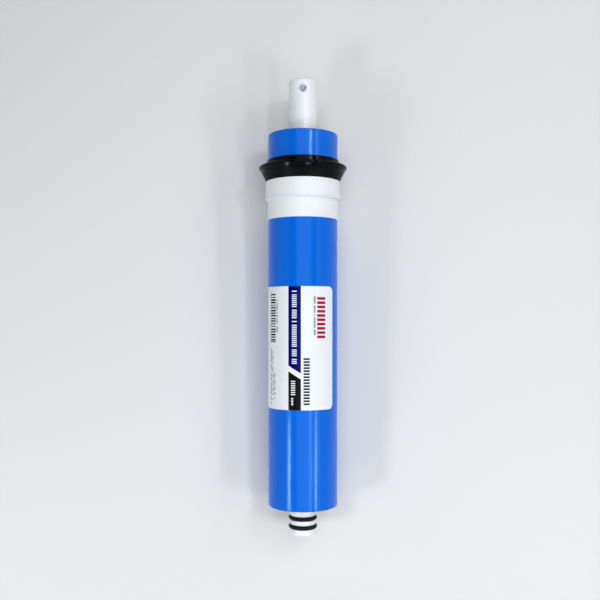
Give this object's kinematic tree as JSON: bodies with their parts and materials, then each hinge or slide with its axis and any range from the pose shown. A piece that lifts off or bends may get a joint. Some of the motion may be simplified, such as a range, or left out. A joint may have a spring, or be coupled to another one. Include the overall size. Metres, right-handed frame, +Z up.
{
  "type": "ro membrane element",
  "caption": "Spiral-wound reverse-osmosis membrane cartridge: blue-wrapped roll on a white tube, black cup-lip brine seal near one end, O-ring spigot at the other.",
  "frame": {"origin": "on the ground under the middle of the lying element's bounding box", "axes": "+Y runs along the element towards its feed end and brine seal, which the seal's lip lifts by 1.6 degrees; +Z is up, through the pull hole and the middle of the wrap's upper side; +X is to the right, seen from above with the feed end away from the viewer"},
  "size_m": [0.058, 0.2984, 0.058],
  "materials": {
    "tube_plastic": "moulded white plastic, satin gloss",
    "plug_plastic": "moulded white plastic",
    "o_ring_rubber": "smooth black rubber with a film of grease",
    "membrane_sheet": "thin off-white sheet, edges bonded with glue",
    "spacer_net": "translucent extruded net",
    "wrap_tape": "glossy blue adhesive tape",
    "seal_rubber": "smooth black moulded rubber",
    "white_tape": "white vinyl tape, satin",
    "label_film": "printed white film"
  },
  "bodies": {
    "root": {"permeate_tube": "tube_plastic", "tube_plug": "plug_plastic", "o_ring_inner": "o_ring_rubber", "o_ring_outer": "o_ring_rubber", "membrane_leaf": "membrane_sheet", "feed_spacer": "spacer_net", "outer_wrap": "wrap_tape", "brine_seal": "seal_rubber", "seal_tape": "white_tape", "label": "label_film"}
  },
  "joints": []
}
